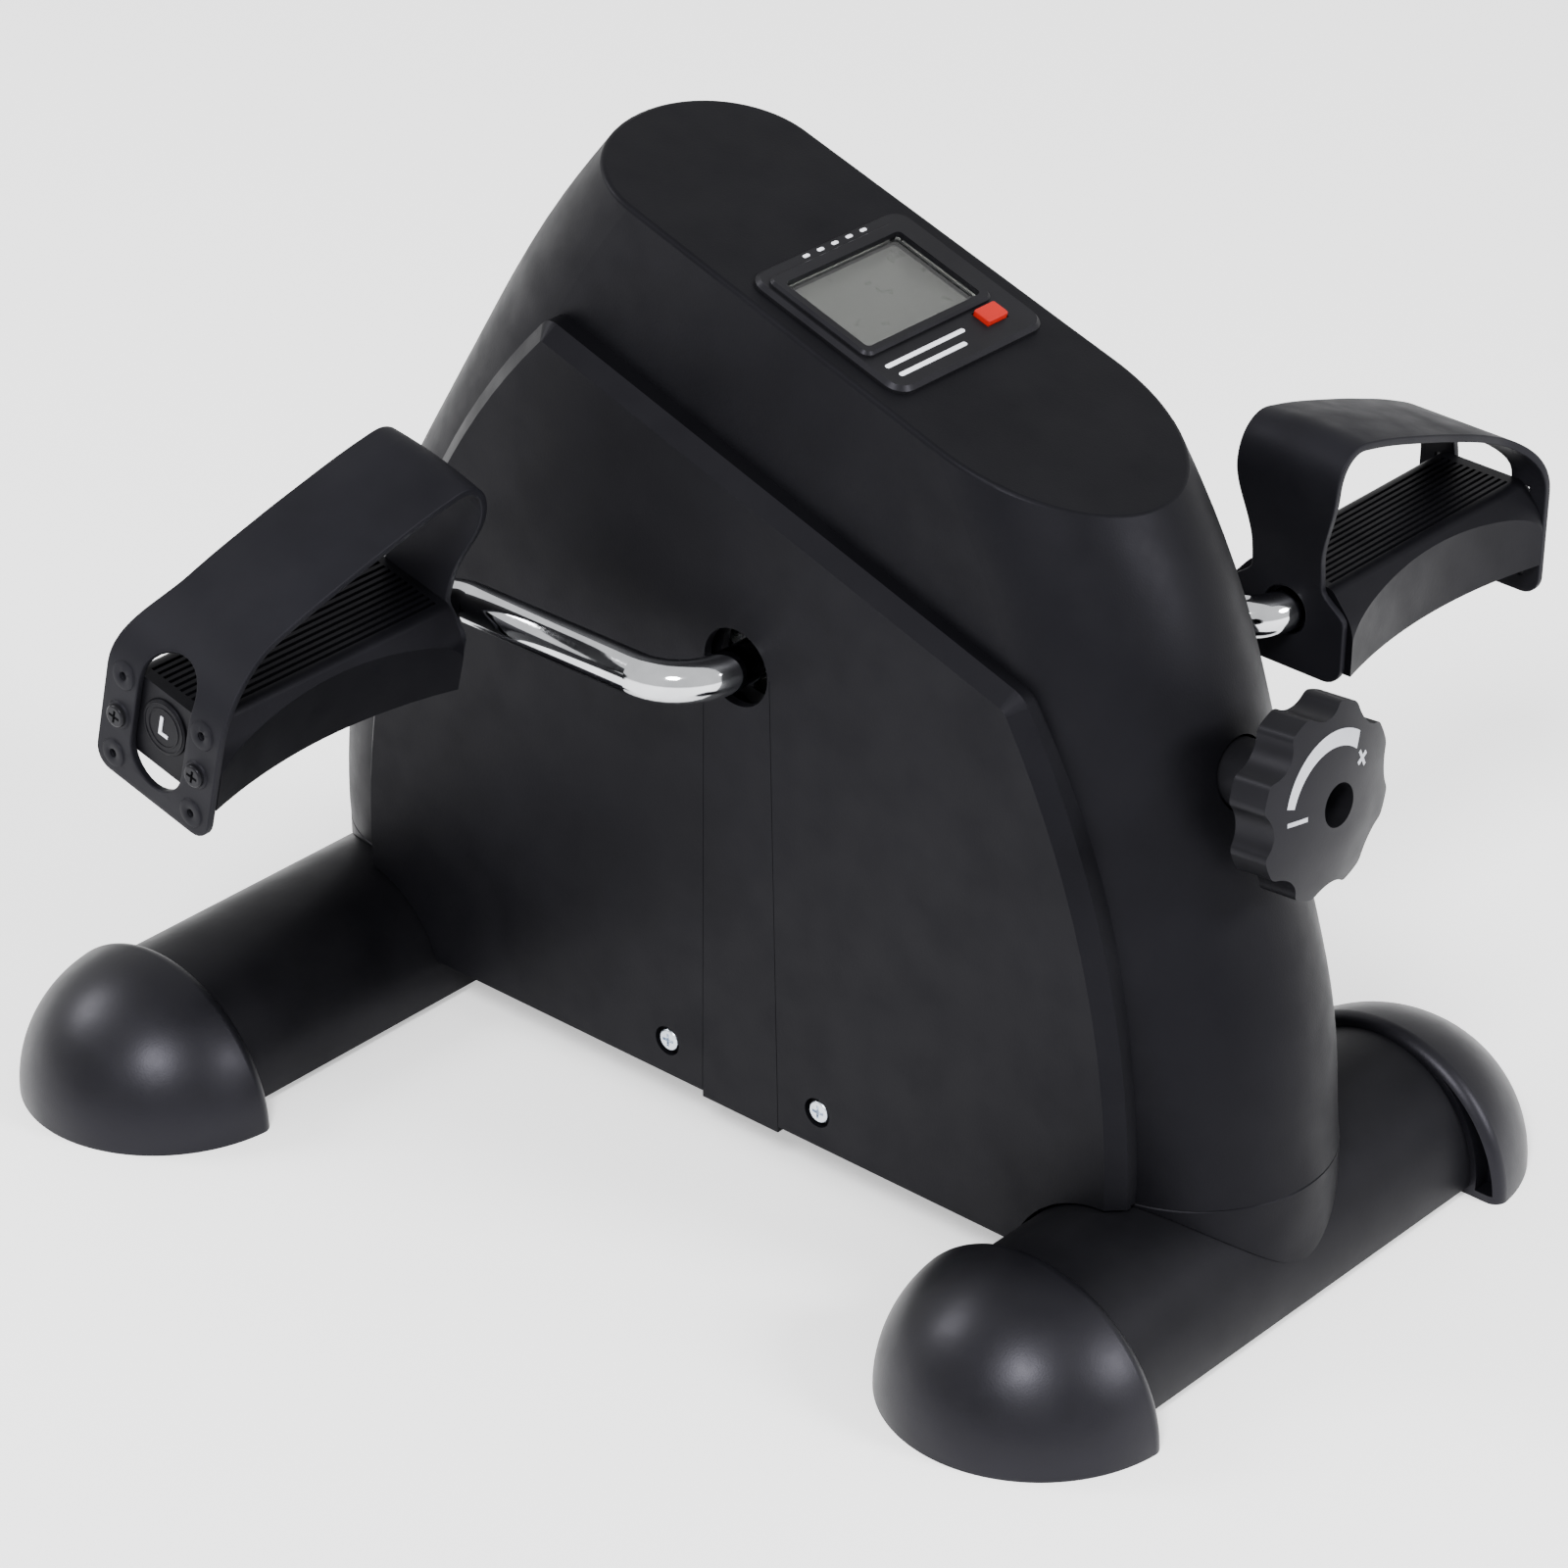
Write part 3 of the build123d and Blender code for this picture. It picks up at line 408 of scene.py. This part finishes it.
def add_boss(solid, s, w, outer, inner, height):
    """A low round boss with a hole, standing on the strap's outer face."""
    rings = [
        (outer, 0),
        (outer - 0.3 * MM, height * 0.8),
        (outer - 0.8 * MM, height),
        (inner + 0.4 * MM, height),
        (inner, height * 0.5),
        (inner, -STRAP_THICK),
    ]
    loops = []
    for radius, lift in rings:
        z = STRAP_THICK / 2 + lift
        loops.append([solid.verts.new((x, y, z)) for x, y in circle_points(s, w, radius, 28)])
    bridge(solid, loops)


def pedal_turned(name):
    """The spindle's line at x = 0, turned to the pedal's resting tilt."""
    centre = joint_place(f"{name}_pedal_turn")
    centre.x = 0
    tilt = Matrix.Rotation(math.radians(PEDAL_TILT[name]), 4, "X")
    return Matrix.Translation(centre) @ tilt


def pedal_place(name):
    """From pedal coordinates to the row frame, at rest."""
    return pedal_turned(name) @ Matrix.Scale(PEDAL_SIDE[name], 4, (1, 0, 0))


def pedal_strap(name):
    path = strap_path()
    lengths = along(path)
    length = lengths[-1]
    hole_places = []
    for k in (-1, 0, 1):
        for w in (-STRAP_SCREW_Y, STRAP_SCREW_Y):
            hole_places.append((STRAP_SCREW_Z - STRAP_FOOT + k * HOLE_STEP, w))
    holes = [circle_points(s, w, 1.2 * MM, 16) for s, w in hole_places]
    spindle_hole = circle_points(length + STRAP_HEEL, 0, SPINDLE_HOLE_R, 32)
    outlines = [strap_outline(length), slot_outline(), spindle_hole, *holes]
    solid = flat_solid(outlines, STRAP_THICK, STRAP_EDGE)
    cuts = 130
    for step in range(1, cuts):
        slice_at(solid, (length * step / cuts, 0, 0), (1, 0, 0))
    for w in (-9 * MM, -3 * MM, 3 * MM, 9 * MM):
        slice_at(solid, (0, w, 0), (0, 1, 0))
    for s, w in hole_places:
        add_boss(solid, s, w, 4.4 * MM, 1.3 * MM, 0.55 * MM)
    for vertex in solid.verts:
        s, w, h = vertex.co
        i = 0
        while i < len(path) - 2 and lengths[i + 1] < s:
            i += 1
        share = (s - lengths[i]) / (lengths[i + 1] - lengths[i])
        point = path[i].lerp(path[i + 1], share)
        run = (path[i + 1] - path[i]).normalized()
        arch = smoothstep((s - 60 * MM) / (30 * MM)) * smoothstep((length - 60 * MM - s) / (20 * MM))
        crown = STRAP_CROWN * arch * (1 - (w / (18 * MM)) ** 2)
        out = h + crown
        vertex.co = (point.x + run.y * out, w, point.y - run.x * out)
    solid.transform(pedal_place(name))
    mesh = to_mesh(f"{name}_strap", solid)
    rubber = MATERIALS["strap_rubber"]
    piece = add_piece(f"{name}_strap", mesh, rubber, f"{name}_pedal")
    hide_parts(f"{name}_pedal_strap")


# ---- pedal badges ----
def badge_marks(name):
    """Two raised rings and the side's letter on the end badge."""
    plastic = MATERIALS["pedal_plastic"]
    solid = bmesh.new()
    for radius in (7.6 * MM, 5.9 * MM):
        loops = []
        for turn in range(8):
            angle = 2 * math.pi * turn / 8
            ring_r = radius + 0.28 * MM * math.cos(angle)
            lift = 0.22 * MM * math.sin(angle)
            ring = circle_points(0, 0, ring_r, 48)
            loops.append([solid.verts.new((BADGE_FACE + lift, y, z)) for y, z in ring])
        bridge(solid, loops + loops[:1])
    solid.transform(pedal_place(name))
    rings = to_mesh("rings", solid)
    add_piece(f"{name}_badge_rings", rings, plastic, f"{name}_pedal")
    text = bpy.data.curves.new("letter", "FONT")
    text.body = name[0].upper()
    text.size = 8.4 * MM
    text.extrude = 0.15 * MM
    text.offset = 0.12 * MM
    text.align_x = "CENTER"
    text.align_y = "CENTER"
    letter = mesh_of(text)
    side = PEDAL_SIDE[name]
    facing = Matrix(((0, 0, side, 0), (side, 0, 0, 0), (0, 1, 0, 0), (0, 0, 0, 1)))
    out = Matrix.Translation((side * (BADGE_FACE + 0.1 * MM), 0, 0))
    letter.transform(pedal_turned(name) @ out @ facing)
    add_piece(f"{name}_badge_letter", letter, MARKING, f"{name}_pedal")


# ---- knob marks ----
def knob_place():
    """Knob face to the row frame: x to the user's right, y up, z out towards the user."""
    outward = Vector((0, -math.cos(KNOB_TILT), math.sin(KNOB_TILT)))
    up = Vector((0, math.sin(KNOB_TILT), math.cos(KNOB_TILT)))
    across = Vector((1, 0, 0))
    place = Matrix((across, up, outward)).transposed().to_4x4()
    place.translation = joint_place("knob_turn")
    return place


def dome_lift(x, y):
    """Height of the knob's domed face at a point on it."""
    return math.sqrt(KNOB_DOME_R**2 - x * x - y * y) - KNOB_DOME_R


def knob_mark(name, columns):
    """A printed mark: pairs of points (inner, outer) along it, laid on the dome."""
    solid = bmesh.new()
    lift = 0.08 * MM
    across = 3
    rows = []
    for inner, outer in columns:
        row = []
        for k in range(across + 1):
            x = inner[0] + (outer[0] - inner[0]) * k / across
            y = inner[1] + (outer[1] - inner[1]) * k / across
            row.append(solid.verts.new((x, y, dome_lift(x, y) + lift)))
        rows.append(row)
    for a, b in zip(rows, rows[1:]):
        for k in range(across):
            solid.faces.new((a[k], a[k + 1], b[k + 1], b[k]))
    bmesh.ops.solidify(solid, geom=solid.faces[:], thickness=0.1 * MM)
    solid.transform(knob_place())
    add_piece(name, to_mesh(name, solid), MARKING, "tension_knob")


def polar(radius, degrees):
    angle = math.radians(degrees)
    return (radius * math.cos(angle), radius * math.sin(angle))


def bar(centre, direction_deg, long, wide):
    """Columns of a straight bar."""
    dx, dy = polar(1, direction_deg)
    side_x, side_y = -dy * wide / 2, dx * wide / 2
    columns = []
    for k in range(5):
        run = (k / 4 - 0.5) * long
        x, y = centre[0] + dx * run, centre[1] + dy * run
        columns.append(((x - side_x, y - side_y), (x + side_x, y + side_y)))
    return columns


def knob_marks():
    start, stop = 53, 163
    sweep = []
    for step in range(41):
        share = step / 40
        degrees = start + (stop - start) * share
        sweep.append((polar((16 + 2.4 * share) * MM, degrees), polar(21 * MM, degrees)))
    knob_mark("knob_arc", sweep)
    knob_mark("knob_minus", bar(polar(16.7 * MM, 176), 176, 7.2 * MM, 1.3 * MM))
    plus_at = polar(15 * MM, 38)
    knob_mark("knob_plus_a", bar(plus_at, 20, 5 * MM, 1.2 * MM))
    knob_mark("knob_plus_b", bar(plus_at, 110, 5 * MM, 1.2 * MM))


# ---- console marks ----
def console_place():
    """Console plate to the row frame: x right, y up the slope, z out of the cover's top."""
    slope = math.atan(TOP_SLOPE)
    place = Matrix.Translation((0, 0, TOP_Z)) @ Matrix.Rotation(slope, 4, "X")
    return place @ Matrix.Translation((*CONSOLE_AT, 0))


def console_marks():
    """Plain bars where the real console carries printed words."""
    bars = [(x * MM, 27 * MM, 2.6 * MM, 1.2 * MM) for x in (-10, -4, 2, 8, 14)]
    bars += [(-10.5 * MM, -19.4 * MM, 33 * MM, 1.5 * MM), (-12 * MM, -23.8 * MM, 28 * MM, 1.5 * MM)]
    for i, (x, y, long, wide) in enumerate(bars):
        corners = []
        radius = wide / 2
        for cx, start in ((x + long / 2 - radius, -90), (x - long / 2 + radius, 90)):
            for step in range(9):
                dx, dy = polar(radius, start + 180 * step / 8)
                corners.append((cx + dx, y + dy))
        solid = flat_solid([corners], 0.16 * MM, 0.03 * MM, 1)
        solid.transform(console_place() @ Matrix.Translation((0, 0, PLATE_TOP + 0.04 * MM)))
        add_piece(f"console_mark_{i}", to_mesh("mark", solid), MARKING, "frame")


for pedal in PEDAL_SIDE:
    pedal_strap(pedal)
    badge_marks(pedal)
knob_marks()
console_marks()


# ---- floor, light and camera ----
def floor():
    material, tree, shader = shader_material("floor")
    pale = two_tone(tree, noise(tree, 1.5, 3), (0.88, 0.88, 0.885), (0.91, 0.91, 0.915))
    tree.links.new(pale, shader.inputs["Base Color"])
    shader.inputs["Roughness"].default_value = 0.65
    shader.inputs["Emission Color"].default_value = (1, 1, 1, 1)
    shader.inputs["Emission Strength"].default_value = 0.6
    bpy.ops.mesh.primitive_plane_add(size=14, location=(0, 0, 0))
    plane = bpy.context.object
    plane.name = "floor"
    plane.data.materials.append(material)


def softbox(name, place, size, power):
    light = bpy.data.lights.new(name, "AREA")
    light.shape = "DISK"
    light.size = size
    light.energy = power
    holder = bpy.data.objects.new(name, light)
    holder.location = place
    aim = Vector((0, 0, 0.12)) - Vector(place)
    holder.rotation_euler = aim.to_track_quat("-Z", "Y").to_euler()
    bpy.context.scene.collection.objects.link(holder)


def studio():
    world = bpy.data.worlds.new("studio")
    world.use_nodes = True
    sky = world.node_tree.nodes["Background"]
    sky.inputs["Color"].default_value = (1, 1, 1, 1)
    sky.inputs["Strength"].default_value = 1.2
    bpy.context.scene.world = world
    softbox("key", (-1.6, -0.9, 1.9), 0.65, 85)
    softbox("nose_light", (0.6, -2.0, 1.3), 0.65, 60)
    softbox("rear_light", (-0.9, 1.9, 1.6), 0.9, 45)


def camera():
    azimuth, elevation, distance = math.radians(-48.48), math.radians(29.46), 1.5797
    target = Vector((0, 0, 0.1))
    away = Vector((math.sin(azimuth), -math.cos(azimuth), 0)) * math.cos(elevation)
    away.z = math.sin(elevation)
    data = bpy.data.cameras.new("camera")
    data.sensor_width = 36
    data.lens = 122.8
    data.shift_x = -0.0235
    data.shift_y = 0.005
    data.clip_end = 50
    holder = bpy.data.objects.new("camera", data)
    holder.location = target + away * distance
    holder.rotation_euler = (-away).to_track_quat("-Z", "Y").to_euler()
    bpy.context.scene.collection.objects.link(holder)
    bpy.context.scene.camera = holder


floor()
studio()
camera()
